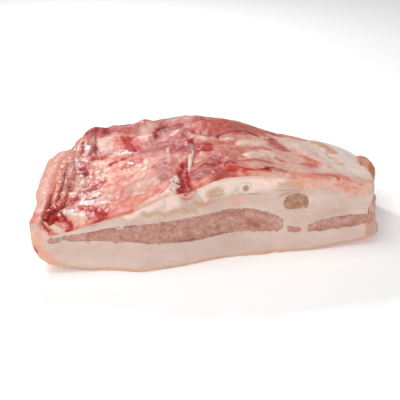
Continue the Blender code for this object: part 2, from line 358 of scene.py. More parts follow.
STAINS_ON_WALL = (
    ("flush of the skin", ((-142, -66), (-139, -35), (-131, 18), (-122, 48)), 17, 0.31, 0.7, 0),
    ("crown of the wall", ((-140, -64), (-136, -35), (-130, 18), (-121, 46)), 12, 0.3, 0.7, 2.4),
    ("stain along the inner edge", ((-121, 35), (-124, 8), (-128, -14), (-131, -30)), 5.2, 0.48, 1.0, 0),
    ("blood at the foot of the wall", ((-134, -52), (-131, -34)), 3.4, 0.66, 0.7, 0),
    ("front corner", ((-147, -76), (-145, -62)), 6, 0.5, 1.0, 0),
    ("clot", ((-136, -62), (-131, -48), (-127, -34)), 4.5, 0.8, 0.7, 0),
    ("flush of the right end", ((140, 30), (143, 10), (126, -60)), 9, 0.16, 0.8, 0),
    ("raised back corner", ((-130, 36), (-118, 60)), 14, 0.33, 0.7, 3.0),
)
STAINS_ON_BEND = (  # on the front, with paths as (x, z)
    ("pale pink at the turn", ((-140, 40), (-139, 30)), 4.5, 0.22, 0.5, 0),
    ("orange rim", ((-147, 44), (-147, 34), (-144, 25), (-141, 20)), 2.8, 0.54, 1.0, 0),
    ("faint orange along the bend", ((-143, 30), (-139, 20), (-131, 11)), 4.0, 0.3, 1.0, 0),
    ("dark nick", ((-143, 21.5), (-141, 19.5)), 0.9, 0.86, 0.5, 0),
    ("tan end of the streak", ((115, 31), (120, 29), (121, 24), (117, 19)), 1.4, 0.46, 0.9, 0),
)


def normals_of(mesh):
    """The direction that the surface faces at each of the mesh's vertices."""
    flat = np.empty(len(mesh.vertices) * 3)
    mesh.vertices.foreach_get("normal", flat)
    return flat.reshape(-1, 3)


def layered(spots, tissues, tone, warmth, painted_rim_shade=0.0):
    """Lays tissues over a base and returns three values for each spot: tone, warmth and rise in mm.

    Each tissue is given as (what, path, half width, tone, warmth, rise). Tone goes from 0, white fat,
    through 0.4, pink, and 0.6, muscle, to 1, clotted blood. Warmth goes from 0, mauve, to 1, orange.
    The rims of small raised lobes get a painted shade: they are darker by the tone given for it.
    """
    rise = np.zeros(len(spots))
    ragged = 0.34 * waves(spots, 7, 61) + 0.24 * waves(spots, 2.8, 62)
    for what, path, half_width, own_tone, own_warmth, own_rise in tissues:
        far = (along(spots, path) + ragged * min(half_width, 8)) / half_width
        share = 1 - eased(0.55, 1.4, far)
        tone = tone + (own_tone - tone) * share
        warmth = warmth + (own_warmth - warmth) * share
        raised_lobe = own_rise > 1.1 and half_width < 11
        # painted shade round the foot of a small raised lobe
        if raised_lobe:
            tone = tone + painted_rim_shade * np.clip(1 - abs(far - 1.25) / 0.3, 0, 1)
        rise = rise + own_rise * np.clip(1 - (along(spots, path) / half_width) ** 2, 0, 1) ** 1.5
    return tone, warmth, rise


def flesh_colour(tree, tone, warmth):
    """The colours of raw pork, from fat through muscle to blood: a mauve row and an orange row."""
    cool = add(tree, "ShaderNodeValToRGB", "Color", {"Fac": tone}, stops=(
        (0.0, "#E4CEC7"), (0.2, "#D6A79D"), (0.4, "#C27C73"), (0.58, "#A4504C"),
        (0.74, "#962F3B"), (0.88, "#7E1229"), (1.0, "#480614"),
    ))
    warm = add(tree, "ShaderNodeValToRGB", "Color", {"Fac": tone}, stops=(
        (0.0, "#ECD2C3"), (0.2, "#E8B59F"), (0.4, "#DF8C77"), (0.58, "#D05F4B"),
        (0.74, "#C53526"), (0.88, "#A91512"), (1.0, "#58080B"),
    ))
    return add(tree, "ShaderNodeMix", 2, {0: warmth, 6: cool, 7: warm}, data_type="RGBA")


# Back fat is dense and waxy, nearly dry, an even pale beige. Scalded rind is thin and tan, and the
# pink under it shows through.
material, tree, shader, spot = wet_tissue("pork back fat and rind", 0.5, 0.06, 0.18)
fine = grain_of(tree, spot, (2.6, 2.6, 2.6), 5.0)
broad = grain_of(tree, spot, (9, 9, 9), 5.0)
colour = cut_face(tree, spot, fat_colour(tree, spot, "#DBC4B8", "#CCAFA2"))
depth = shifted(tree, "rind_depth", broad, 1.4)
rind = add(
    tree, "ShaderNodeMapRange", 0,
    {"Value": depth, "From Min": RIND - 0.7, "From Max": RIND + 0.9, "To Min": 0.9, "To Max": 0.0},
    interpolation_type="SMOOTHSTEP",
)
tan = add(tree, "ShaderNodeMix", 2, {0: fine, 6: linear("#CB9C7C"), 7: linear("#DBB497")}, data_type="RGBA")
colour = add(tree, "ShaderNodeMix", 2, {0: rind, 6: colour, 7: tan}, data_type="RGBA")
bloom = add(
    tree, "ShaderNodeMix", 2, {0: broad, 6: linear("#DDA593"), 7: linear("#E8BDAC")}, data_type="RGBA"
)
colour = add(tree, "ShaderNodeMix", 2, {0: "outside", 6: colour, 7: bloom}, data_type="RGBA")
flesh = flesh_colour(tree, shifted(tree, shifted(tree, "tone", broad, 0.16), fine, 0.12), "warmth")
colour = add(tree, "ShaderNodeMix", 2, {0: "stain", 6: colour, 7: flesh}, data_type="RGBA")
tree.links.new(colour, shader.inputs["Base Color"])
ripple(tree, shader, grain_of(tree, spot, (5, 5, 5), 2.0), 0.2)

back_fat = grown("back_fat", 0.5)
rind_depth = nearest(places_of(back_fat), "skin")
places = places_of(back_fat) / MM
x, y, z = places.T  # its columns: what moves x moves the places
plan = strayed(places[:, :2], 8, 1.6, 5)
front = strayed(places[:, [0, 2]], 8, 1.2, 7)
on_front = eased(0.35, 0.75, -normals_of(back_fat)[:, 1])
high = eased(20, 34, z)
even = np.full(len(plan), 0.2)
top = layered(plan, STAINS_ON_WALL, even, even + 0.4)
bend = layered(front, STAINS_ON_BEND, even, even + 0.4)
z += (top[2] - 0.4 * painted(places[:, :2], WALL, 0.3)) * high
x += 2.6 * painted(places[:, :2], DENT_IN_WALL, 0.8) * high
y -= 4.0 * painted(places[:, [0, 2]], BELLY, 0.9) * on_front
toe = painted(places[:, :2], TOE, 0.8) * eased(121, 127, x)
x += 2.6 * toe * eased(30, 18, z)
x += 5.0 * toe * eased(14, 3, z)
below_knob = eased(38, 30, z)
beside_knob = (1 - below_knob) * eased(-8, -20, y)
drawn_in = eased(118, 130, x) * eased(-54, -42, y) * eased(8, 16, z)
x -= 3.2 * drawn_in * (below_knob + beside_knob)
move_to(back_fat, places * MM)
facing = -normals_of(back_fat)[:, 1]
thicker_bend = 2.2 * eased(32, 22, z) * eased(-110, -128, x) * on_front
bare_top = 5 * eased(26, 34, z) * eased(-105, -125, x) * on_front
wall_stains = painted(plan, [stain[1:3] for stain in STAINS_ON_WALL], 0.35) * high * (1 - on_front)
bend_stains = painted(front, [stain[1:3] for stain in STAINS_ON_BEND], 0.8) * eased(0.2, 0.5, facing)
record_on(
    back_fat,
    lean_depth=lean_depth(back_fat, inside=False),
    gash=np.zeros(len(plan)),
    rind_depth=rind_depth + 4 * toe * eased(5, 9, z) - thicker_bend + bare_top,
    outside=eased(2.4, 1.2, rind_depth) * eased(0.7, 0.4, abs(facing)),
    stain=np.maximum(0.9 * wall_stains, 0.75 * bend_stains),
    tone=np.where(facing > 0.35, bend[0], top[0]),
    warmth=np.where(facing > 0.35, bend[1], top[1]),
)
piece_of("back_fat_and_rind", back_fat, material, "rind_and_back_fat", "back_fat")


# ---- The upper fat -------------------------------------------------------------------------
# Softer, creamier fat over the lean. Glands, vessels and thin membranes run through it, and it
# comes up to the top as the white lobe at the right.
WORN_EDGE = ((((138, 36), (135, 8)), 11),)  # both on the plan: where the lobe slopes off to the knob,
CREAM_LOBE = ((((122, 48), (124, -30)), 26),)  # and the white lobe itself
STAINS_ON_CUT = (  # on the front, with paths as (x, z)
    ("flush under the top meat", ((58, 62), (76, 60), (92, 57), (112, 54)), 6.5, 0.25, 0.95, 0),
    ("speckled flush", ((94, 57), (106, 52)), 6.0, 0.33, 0.9, 0),
    ("pale flesh in the fat", ((8, 46), (16, 47)), 3.0, 0.2, 0.6, 0),
    ("flesh at the left", ((-126, 37), (-100, 42), (-70, 52), (-52, 60)), 3.0, 0.36, 0.95, 0),
    ("foot of the cleft", ((-29, 70), (-29, 59)), 5.4, 0.6, 0.6, 0),
    ("flesh under the edge", ((-14, 67), (10, 68), (40, 65)), 1.2, 0.26, 0.9, 0),
)
STAINS_ON_LOBE = (  # on the top, with paths on the plan
    ("flush by the corner", ((100, -44), (112, -58)), 6.0, 0.36, 0.85, 0),
    ("blood in the crease", ((104, 0), (106, -12), (107.5, -28), (106, -44)), 1.5, 0.84, 0.6, 0),
    ("pink beside the crease", ((105, -4), (107, -18)), 4.0, 0.2, 0.6, 0),
    ("amber stain", ((90, 44), (98, 40), (106, 35)), 3.4, 0.4, 1.0, 0),
    ("wide end of the amber stain", ((108, 31), (110, 24), (110, 14)), 5.0, 0.36, 1.0, 0),
)

# Soft fat smears a little under the knife: creamy white, greasy, with a low sheen, and tan where a
# gland or a vessel lies close under the cut.
material, tree, shader, spot = wet_tissue("soft pork fat, knife cut", 0.38, 0.3, 0.2)
fine = grain_of(tree, spot, (2.0, 2.0, 2.0), 5.0, 0.65)
broad = grain_of(tree, spot, (9, 9, 5), 6.0, 0.62)
fat = fat_colour(tree, spot, "#DEC9BC", "#CBAC9C")
flesh = flesh_colour(tree, shifted(tree, shifted(tree, "tone", broad, 0.2), fine, 0.24), "warmth")
for amount, raggedness, low, high, colour in (
    ("cream", 0.5, 0.1, 1.3, linear("#F8DCCF")),
    (shifted(tree, "stain", broad, 0.3), 0.2, 0.05, 1.1, flesh),
    ("tan", 0.6, 0.15, 1.3, linear("#C8956F")),
):
    ragged = shifted(tree, amount, fine, raggedness)
    share = add(tree, "ShaderNodeMapRange", 0, {"Value": ragged, "From Min": low, "From Max": high})
    fat = add(tree, "ShaderNodeMix", 2, {0: share, 6: fat, 7: colour}, data_type="RGBA")
tree.links.new(cut_face(tree, spot, fat), shader.inputs["Base Color"])
ripple(tree, shader, shifted(tree, broad, fine, 0.4), 0.3)

soft_fat = grown("upper_fat", 0.42)
places = places_of(soft_fat) / MM
x, y, z = places.T
plan = strayed(places[:, :2], 8, 1.6, 9)
front = strayed(strayed(places[:, [0, 2]], 9, 1.6, 11), 3.5, 0.7, 12)
on_front = eased(0.35, 0.75, -normals_of(soft_fat)[:, 1])
z -= 2.4 * painted(places[:, :2], WORN_EDGE, 0.9) * eased(38, 48, z)
x += 3.0 * eased(112, 121, x) * eased(-10, -22, y) * eased(32, 40, z)  # the front corner swells
move_to(soft_fat, places * MM)
even = np.full(len(plan), 0.3)
cut = layered(front, STAINS_ON_CUT, even, even)
lobe = layered(plan, STAINS_ON_LOBE, even, even)
cream_cut = painted(front, (
    (((-22, 62), (-8, 64), (20, 64), (44, 62)), 4.2),
    (((-43, 60), (-40, 52)), 5),
    (((-18, 60), (-14, 54)), 3),
    (((0, 56), (40, 58)), 3),
    (((-74, 47), (-50, 54)), 3),
))
tan_cut = painted(front, (
    (((-61, 47), (-53, 46), (-44, 44), (-32, 45), (-21, 44)), 2.0),
    (((-12, 56), (-3, 57)), 3.0),
    (((-24, 50), (-10, 49)), 1.6),
    (((44, 60), (60, 58)), 2.0),
), 0.9)
tan_lobe = painted(plan, ((((90, 44), (98, 40), (106, 35), (110, 24), (110, 14)), 4),), 0.8)
cut_stains = painted(front, [stain[1:3] for stain in STAINS_ON_CUT])
lobe_stains = painted(plan, [stain[1:3] for stain in STAINS_ON_LOBE])
record_on(
    soft_fat,
    lean_depth=lean_depth(soft_fat, inside=False),
    gash=np.zeros(len(plan)),
    cream=np.maximum(painted(plan, CREAM_LOBE, 0.8) * (1 - on_front), cream_cut * on_front),
    tan=tan_cut * on_front + 0.6 * tan_lobe * (1 - on_front),
    stain=cut_stains * on_front + lobe_stains * (1 - on_front),
    tone=cut[0] * on_front + lobe[0] * (1 - on_front),
    warmth=cut[1] * on_front + lobe[1] * (1 - on_front),
)
piece_of("upper_fat_cut", soft_fat, material, "soft_fat", "upper_fat")


# ---- The gland -----------------------------------------------------------------------------
# A lymph gland, tan and firm, opened by the knife. Its cut face is flat, and stands a little proud
# of the softer fat round it.
SWOLLEN = (1.1, 1.0, 1.14)  # its size against the CAD node's, along x, y and z
PROUD = 0.3  # how far its face stands out of the fat, in mm

# Gland tissue is close-grained and moist, tan with darker and paler specks.
material, tree, shader, spot = wet_tissue("cut lymph gland", 0.38, 0.3, 0.12)
grain = grain_of(tree, spot, (4, 4, 4), 6.0, 0.65)
colour = add(tree, "ShaderNodeValToRGB", "Color", {"Fac": grain}, stops=(
    (0.0, "#8F5F48"), (0.5, "#AC7F62"), (1.0, "#C6A083"),
))
tree.links.new(colour, shader.inputs["Base Color"])
ripple(tree, shader, grain, 0.5)
gland = grown("gland", 0.9)
places = places_of(gland)
middle = (places.max(axis=0) + places.min(axis=0)) / 2
move_to(gland, middle + (places - middle) * SWOLLEN - np.array((0, PROUD * MM, 0)))
piece_of("opened_gland", gland, material, "gland_tissue", "gland")


# ---- The loose meat on top -----------------------------------------------------------------
# Where the cheek was pulled from the bone: thin muscles, lobes of fat and torn membranes, wet and
# uneven. Long loose strands run along it on the left, and it breaks into lobes in the middle.
LOBE_WIDTH = 9  # of the lobes that the meat breaks into, in mm
BEAD_WIDTH = 4.6  # of the small lumps by the wall
TISSUES = (  # on the plan, each over the ones before it
    # left
    ("loose strands", ((-104, -6), (-62, -2)), 30, 0.33, 0.9, 0),
    ("smooth salmon apron", ((-102, -54), (-74, -66), (-50, -74)), 11, 0.46, 1.0, 0),
    ("lumps by the wall", ((-110, 33), (-108, 5), (-102, -14)), 10, 0.4, 0.4, 0),
    ("valley by the wall", ((-116, 26), (-118, 0), (-120, -18)), 5, 0.46, 0.1, -0.8),
    ("slope up to the corner", ((-114, 44), (-106, 58), (-96, 66)), 13, 0.34, 0.6, 4.7),
    ("coral corner", ((-108, 60), (-105, 64), (-96, 67)), 7, 0.46, 1.0, 1.0),
    ("cream lobe at the back left", ((-92, 44), (-76, 50)), 14, 0.17, 0.3, 1.6),
    ("ridge at the back left", ((-96, 68), (-80, 71), (-66, 70), (-52, 66)), 10, 0.6, 0.35, 3.2),
    ("pink lobe in front of it", ((-88, 28), (-72, 30)), 7, 0.38, 0.3, 0.6),
    ("mauve lobe", ((-96, 55), (-97, 36)), 4.6, 0.62, 0.1, 1.0),
    # a small lobe painted near white: a painted highlight on the wet lobe
    ("pale lobe beside it, painted as a highlight", ((-102, 45), (-102, 36)), 2.6, 0.14, 0.0, 0.6),
    ("crimson groove", ((-107, 38), (-105, 50)), 1.8, 0.8, 0.2, -0.4),
    ("red mottles", ((-98, 25), (-84, 22)), 2.6, 0.7, 0.7, -0.8),
    ("orange rim of the hollow", ((-68, 48), (-66, 30), (-54, 22)), 9.0, 0.54, 1.0, -0.4),
    ("red hollow", ((-65, 50), (-64, 36), (-60, 26)), 6.6, 0.74, 1.0, -1.4),
    ("red tongue", ((-60, 24), (-50, 24), (-41, 29), (-30, 37)), 3.0, 0.7, 1.0, -0.6),
    ("dark fold in the hollow", ((-64, 27), (-56, 28), (-48, 30)), 1.5, 0.92, 0.7, -0.8),
    ("seam", ((-82, 8), (-74, 12), (-62, 16)), 1.4, 0.78, 0.9, -1.4),
    ("orange stain", ((-80, 0), (-62, -2)), 4.5, 0.52, 1.0, 0),
    ("red spot", ((-62, 9), (-60, 3)), 3.2, 0.8, 1.0, -0.3),
    ("orange band", ((-96, -24), (-66, -18)), 3.0, 0.5, 1.0, -0.4),
    ("dark line among the lumps", ((-111, 22), (-106, 13), (-102, 4)), 1.6, 0.88, 0.4, -1.2),
    ("cream lump", ((-112, -15), (-108, -8), (-104, -2)), 4.4, 0.16, 0.5, 1.8),
    ("red speckles", ((-106, -30), (-98, -20), (-90, -13)), 3.6, 0.8, 0.8, -0.6),
    # a wet membrane, painted pale lilac as a painted highlight of its shine
    ("pale film painted as a highlight", ((-108, -38), (-88, -40)), 5, 0.12, 0.1, 0.8),
    ("dark stripe in the film", ((-106, -38), (-92, -37)), 1.2, 0.8, 0.5, -0.8),
    ("blood at the lower left", ((-104, -56), (-97, -63), (-92, -73)), 6.0, 0.8, 0.95, -0.8),
    ("blood by the notch", ((-129, -34), (-121, -38), (-114, -34)), 5.5, 0.82, 0.6, -0.6),
    ("pale tissue by the notch", ((-116, -22), (-124, -18)), 3.5, 0.3, 0.4, 0.8),
    # a wet membrane by the notch, painted pale pink, partly as a painted highlight of its shine
    ("wet pink film painted as a highlight", ((-122, -50), (-108, -68)), 6, 0.16, 0.6, 0.8),
    ("red streak", ((-122, -58), (-119, -68), (-116, -76)), 2.4, 0.82, 0.8, -0.5),
    # middle
    ("pale lobe", ((-60, -42), (-52, -48)), 12, 0.23, 0.3, 2.0),
    ("cream edge", ((-62, -78), (-50, -73), (-40, -72)), 5.0, 0.1, 0.5, 0),
    ("meat in the middle", ((-44, 18), (-28, 14), (-10, 30)), 17, 0.6, 0.35, 0),
    ("meat by the cleft", ((-40, -18), (-38, -50)), 8, 0.5, 0.3, 0),
    ("ridge along the back", ((-48, 62), (-28, 67), (-8, 62)), 13, 0.36, 0.1, 3.6),
    ("rise towards the fold", ((-50, 62), (-38, 66)), 12, 0.42, 0.2, 0.8),
    ("yellowish lobe", ((-53, 48), (-43, 57)), 7, 0.2, 0.4, 1.0),
    ("lip of the fold", ((-38, 37), (-30, 41), (-20, 44)), 4.4, 0.3, 0.0, 0.3),
    ("crimson fold", ((-44, 42), (-38, 50), (-32, 53), (-20, 52)), 5.0, 0.68, 0.3, 0),
    ("core of the fold", ((-42, 44), (-37, 50), (-31, 53)), 4.4, 0.84, 0.35, 0),
    ("dome", ((4, 44), (26, 42)), 15, 0.6, 0.6, 2.0),
    ("red on the dome", ((22, 50), (32, 45)), 4.5, 0.8, 0.7, -0.4),
    ("cream lobe in the middle", ((-9, 24), (-2, 20), (4, 17)), 5.6, 0.24, 0.3, 1.4),
    ("red patch", ((-13, 14), (-8, 3), (-2, -8)), 4.6, 0.76, 0.85, -0.8),
    ("crimson vein", ((-16, 22), (-8, 8), (-2, 2)), 1.6, 0.84, 0.6, -0.5),
    ("dark spot", ((-10, -7), (-3, -9)), 2.0, 0.93, 0.4, -0.8),
    ("grey cord", ((-15, 8), (-16, -9)), 4.0, 0.5, 0.1, 1.4),
    # two pale strips of tissue, painted near white partly as painted highlights
    ("white strip painted as a highlight", ((-33, 9), (-34, -8)), 1.6, 0.24, 0.2, 0.3),
    ("second white strip painted as a highlight", ((-27, -5), (-28, -18)), 1.6, 0.28, 0.4, 0.3),
    ("pink fan", ((2, -16), (10, -26)), 8, 0.46, 0.4, 0.4),
    ("red rim of the fan", ((-1, -26), (1, -40), (5, -46), (10, -37), (12, -46)), 2.0, 0.82, 0.6, -0.6),
    ("lobe above the slit", ((-16, -32), (-5, -36)), 5, 0.5, 0.25, 1.2),
    ("mauve lobe below the slit", ((-16, -55), (-3, -60)), 9.6, 0.62, 0.25, 1.8),
    ("salmon foot", ((-24, -64), (-12, -69)), 4.5, 0.4, 0.9, 0),
    ("slit", ((-14, -40), (-9, -41.5), (-4, -42.5)), 2.8, 0.88, 0.6, -0.4),
    ("cleft", ((-24, -24), (-27, -48), (-30, -70)), 6.0, 0.74, 0.5, -2.4),
    ("fat wall of the cleft", ((-30, -28), (-33, -56)), 2.8, 0.4, 0.8, 0.4),
    ("blood in the cleft", ((-24, -34), (-25, -48), (-27, -60)), 3.0, 0.82, 0.8, -0.8),
    # right
    ("muscle at the back right", ((32, 44), (50, 46), (68, 40)), 11, 0.5, 0.4, -1.7),
    ("brown muscle", ((26, 27), (45, 33), (60, 32), (67, 24)), 6.0, 0.52, 0.4, 0.6),
    ("dark outline", ((9, 19), (22, 28), (36, 31), (47, 25)), 1.7, 0.68, 0.3, -0.8),
    ("muscle between the lobes", ((18, -10), (36, -8), (50, -6)), 2.6, 0.42, 0.3, -0.6),
    ("pale lobe on the right", ((29, 4), (40, 8), (46, 5)), 7.0, 0.1, 0.35, 1.6),
    ("lower pale lobe", ((30, -23), (40, -20), (48, -18)), 7.6, 0.08, 0.6, 1.8),
    ("small pale lobe", ((55, 20), (60, 22)), 4.0, 0.1, 0.4, 1.4),
    ("fleck of muscle", ((51, -24), (55, -29)), 2.2, 0.46, 0.6, -0.3),
    ("pale shoulder", ((70, 28), (86, 12), (94, -14), (98, -44)), 14, 0.07, 0.6, 0.8),
    ("cream end", ((94, 44), (100, 6), (106, -34)), 8, 0.02, 0.6, 0),
    ("dark mauve muscle", ((54, 17), (60, 10), (64, 0)), 5.0, 0.52, 0.25, 0.4),
    ("mauve seam", ((16, -38), (31, -35), (47, -38)), 2.0, 0.46, 0.1, -0.8),
    ("muscle patch", ((76, -11), (79, -17), (85, -26)), 4.2, 0.44, 0.8, 0.3),
    ("its lower patch", ((71, -32), (75, -37), (80, -32)), 4.2, 0.46, 0.7, 0.3),
    ("amber streak", ((82, 45), (90, 43), (98, 40)), 3.4, 0.42, 1.0, 0),
    ("red streak at the edge", ((6, -53), (18, -57), (34, -56)), 4.2, 0.73, 1.0, 0.6),
    ("bloody knot", ((32, -54), (42, -49)), 2.4, 0.9, 0.6, 0.8),
    ("mauve edge", ((43, -53), (54, -60)), 4.0, 0.46, 0.15, 0.4),
    ("pink edge", ((56, -61), (74, -63), (86, -57), (98, -60)), 5.0, 0.38, 0.85, 0.4),
    ("pink line", ((72, -62), (85, -58), (91, -63)), 1.8, 0.5, 0.7, -0.4),
    ("white fold", ((12, 15), (23, 11)), 2.2, 0.12, 0.3, 0.8),
    ("salmon bruise", ((9, 6), (13, 2)), 3.4, 0.56, 0.9, 0),
)
FILMS_PAINTED_AS_HIGHLIGHTS = (  # thin wet membrane, painted lilac white as a painted highlight where it shines
    (((-72, 20), (-60, 21)), 2.8),
    (((-112, 30), (-109, 20)), 3.0),
    (((-107, -28), (-96, -32)), 3.0),
    (((-110, -41), (-99, -46), (-88, -48)), 3.6),
    (((-103, 34), (-102, 46)), 2.6),
    (((-96, -27), (-91, -25)), 2.2),
    (((-119, -48), (-108, -64)), 4.0),
    (((-90, 14), (-84, 12)), 3.0),
)
WET = (  # where juice stands on small lumps and shreds, and catches the light
    (((-110, 38), (-110, 0), (-106, -34)), 11),
    (((-126, -40), (-112, -56), (-92, -58)), 8),
    (((-90, 28), (-74, 26)), 6),
    (((-66, 0), (-56, -8)), 7),
    (((-88, -8), (-92, 2)), 6),
)

meat = grown("top_lean", 0.42)
places = places_of(meat) / MM
x, y, z = places.T
on_top = eased(0.6, 2.3, nearest(places * MM, "upper_fat"))
plan = places[:, :2].copy()
loose = strayed(strayed(plan, 14, 2.2, 21), 4.5, 0.9, 23)
right = eased(0, 55, x)
strands = painted(plan, ((((-98, -12), (-66, -6)), 30),), 0.5)
lumpy = painted(plan, ((((-110, 34), (-108, 5), (-104, -20)), 10), (((-92, 28), (-76, 28)), 8)))
broken = 1 - np.maximum(strands, lumpy)
cells = np.array([noise.voronoi(Vector((x, y, 0.3)))[0][:2] for x, y in loose / LOBE_WIDTH])
beads = strayed(plan, 5, 1.2, 25) / BEAD_WIDTH
small_cells = np.array([noise.voronoi(Vector((x, y, 0.7)))[0][:2] for x, y in beads])
# Painted shade: the tone is darkened along the crevices between the lobes and between the small beads, where
# shade gathers.
crevice_shade = (1 - eased(0.02, 0.2, cells[:, 1] - cells[:, 0])) * broken * (1 - 0.5 * right)
crevice_shade += (1 - eased(0.02, 0.3, small_cells[:, 1] - small_cells[:, 0])) * lumpy
# the rims of the raised lobes are darkened as painted shade
tone, warmth, rise = layered(loose, TISSUES, 0.42 - 0.22 * right, 0.6 - 0.1 * right, painted_rim_shade=0.13)
calm = 1 - 0.75 * eased(50, 62, y)
rise += calm * (
    waves(loose, 15, 31)
    + (0.5 - cells[:, 0]) * 1.4 * broken * (1 - 0.5 * right)
    + (0.5 - small_cells[:, 0]) * 1.8 * lumpy
    + waves(loose, 2.2, 35, (10, 1)) * 0.5 * strands
    + waves(plan, 4.5, 37) * 0.3
)
end_faces = [face.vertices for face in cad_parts["top_lean"].data.polygons if face.normal.x > 0.6]
trees["meat_end"] = BVHTree.FromPolygons([v.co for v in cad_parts["top_lean"].data.vertices], end_faces)
from_end = nearest(places * MM, "meat_end")
at_right = eased(60, 90, x)
rise -= 1.3 * eased(20, 1, from_end) * at_right
x += 4.5 * eased(8, 0, from_end) * at_right  # the meat's end lies over the fat
z += np.clip(rise, -5, 8) * on_top
behind = eased(0.35, 0.75, normals_of(meat)[:, 1])
tone += (0.52 + 0.12 * waves(places[:, [0, 2]], 14, 71, (2, 1)) - tone) * behind
warmth += (0.5 - warmth) * behind
move_to(meat, places * MM)
record_on(
    meat,
    # darker along the crevices: painted shade
    tone=tone + 0.09 * crevice_shade * (1 - behind),
    warmth=warmth,
    # film: where lilac white is painted as a highlight on wet membrane
    film=painted(loose, FILMS_PAINTED_AS_HIGHLIGHTS),
    strands=strands * (1 - behind),
    wet=painted(loose, WET, 0.7),
)

# Torn muscle under its own juice. Its colours run from fat white through salmon to crimson, and
# its strands part into fine threads. It is dull where it is dry, and glistens where juice stands.
material, tree, shader, spot = wet_tissue("raw loose cheek meat", 0.38, 0.3, 0.12)
fine = grain_of(tree, spot, (1.8, 1.8, 1.8), 5.0, 0.7)
broad = grain_of(tree, spot, (8, 8, 8), 7.0, 0.66, 0.6)
threads = grain_of(tree, spot, (15, 1.3, 3), 5.0, 0.62, 0.3)
hues = grain_of(tree, spot, (13, 10, 13), 3.0)
tone = shifted(tree, shifted(tree, "tone", broad, 0.17), fine, 0.1)
run = shifted(tree, 0.0, threads, -0.36)
run = add(tree, "ShaderNodeMath", 0, {0: run, 1: "strands"}, operation="MULTIPLY")
tone = add(tree, "ShaderNodeMath", 0, {0: tone, 1: run}, operation="ADD")
colour = flesh_colour(tree, tone, shifted(tree, "warmth", hues, 0.5))
# Painted highlight: where the film channel is high, lilac white is laid over the colour for the shine of wet
# membrane.
ragged = shifted(tree, "film", fine, 1.7)
film = add(tree, "ShaderNodeMapRange", 0, {"Value": ragged, "From Min": 0.6, "From Max": 1.3, "To Max": 0.85})
colour = add(tree, "ShaderNodeMix", 2, {0: film, 6: colour, 7: linear("#F4E8EE")}, data_type="RGBA")
tree.links.new(colour, shader.inputs["Base Color"])
small_lumps = grain_of(tree, spot, (2.6, 2.6, 2.6), 1.0, 0.4)
lumps = shifted(tree, grain_of(tree, spot, (6, 6, 6), 1.0, 0.4), small_lumps, 0.3)
relief = add(tree, "ShaderNodeMapRange", 0, {"Value": "wet", "To Min": 0.4, "To Max": 1.0})
lumps = add(tree, "ShaderNodeMath", 0, {0: lumps, 1: relief}, operation="MULTIPLY")
ripple(tree, shader, shifted(tree, lumps, threads, 0.12), 1.1)
gloss = add(tree, "ShaderNodeMapRange", 0, {"Value": "wet", "To Min": 0.12, "To Max": 0.7})
tree.links.new(gloss, shader.inputs["Coat Weight"])
dull = add(tree, "ShaderNodeMapRange", 0, {"Value": "wet", "To Min": 0.46, "To Max": 0.28})
tree.links.new(dull, shader.inputs["Roughness"])
piece_of("loose_top_meat", meat, material, "loose_lean", "top_lean")


# ---- Clotted blood and torn membrane by the wall -------------------------------------------
# The meat was pulled away from the skin along the left wall. Clotted blood and shreds of membrane
# fill the furrow between them, dark at the front and paler towards the back.
def lump(body, path, half_width, half_height, seed, roughness):
    """Adds a rounded lump along a curve drawn by (x, y, z) points in millimetres."""
    turned = Matrix.Rotation(math.radians(90), 4, "Y")
    rings = 14 * len(path)
    ball = bmesh.ops.create_uvsphere(body, u_segments=24, v_segments=rings, radius=1.0, matrix=turned)
    points = [Vector(point) for point in path]
    last = len(points) - 1
    for vertex in ball["verts"]:
        share = (vertex.co.x + 1) / 2
        place, ahead = Vector(), Vector()
        for step, point in enumerate(points):
            weight = math.comb(last, step) * share ** step * (1 - share) ** (last - step)
            place += weight * point
        for step in range(last):
            weight = math.comb(last - 1, step) * share ** step * (1 - share) ** (last - 1 - step)
            ahead += weight * (points[step + 1] - points[step])
        side = ahead.cross(Vector((0, 0, 1))).normalized()
        top = side.cross(ahead).normalized()
        place += side * vertex.co.y * half_width + top * vertex.co.z * half_height
        uneven = noise.noise_vector(place / (half_width * 1.3) + Vector((seed, 0, 0)))
        uneven += 0.5 * noise.noise_vector(place / (half_width * 0.45) + Vector((seed, 5, 0)))
        vertex.co = (place + uneven * half_width * roughness) * MM


def mesh_of(body, name):
    """Makes a bmesh a smooth mesh whose faces point outwards."""
    bmesh.ops.recalc_face_normals(body, faces=body.faces)
    mesh = bpy.data.meshes.new(name)
    body.to_mesh(mesh)
    body.free()
    mesh.shade_smooth()
    return mesh


furrow = bmesh.new()
for turn, (path, half_width, half_height, roughness) in enumerate((
    # the clot at the front corner
    (((-134, -73, 31), (-132, -62, 36), (-131, -50, 38), (-129, -40, 40)), 4.6, 4.4, 0.35),
    # flat membrane along the wall, from the front to the back
    (((-130, -46, 38.6), (-126, -22, 41.2), (-122, -2, 42.8)), 8.4, 2.6, 0.14),
    (((-123, -12, 42.2), (-120, 13, 44.6), (-116.5, 34, 47.4)), 8.0, 2.6, 0.14),
    (((-117.5, 24, 46.4), (-116.5, 44, 49.6), (-111, 60, 50)), 6.2, 2.6, 0.14),
    # small clots round the first
    (((-137, -66, 41), (-134, -56, 42), (-131, -46, 42)), 3.2, 2.6, 0.35),
    (((-131, -50, 40), (-127, -41, 41), (-121, -36, 41)), 4.0, 3.0, 0.35),
    (((-126, -44, 38), (-124, -54, 38), (-121, -64, 37)), 4.6, 3.4, 0.35),
    # the orange edge where the membrane clings to the wall
    (((-131, -46, 42.4), (-126.5, -18, 44.6), (-125.5, 12, 47.2), (-118, 44, 50.4)), 4.6, 1.6, 0.14),
)):
    lump(furrow, path, half_width, half_height, 7.0 * turn, roughness)
clot = mesh_of(furrow, "clot_by_the_wall")
plan = strayed(places_of(clot)[:, :2] / MM, 5, 1.0, 51)
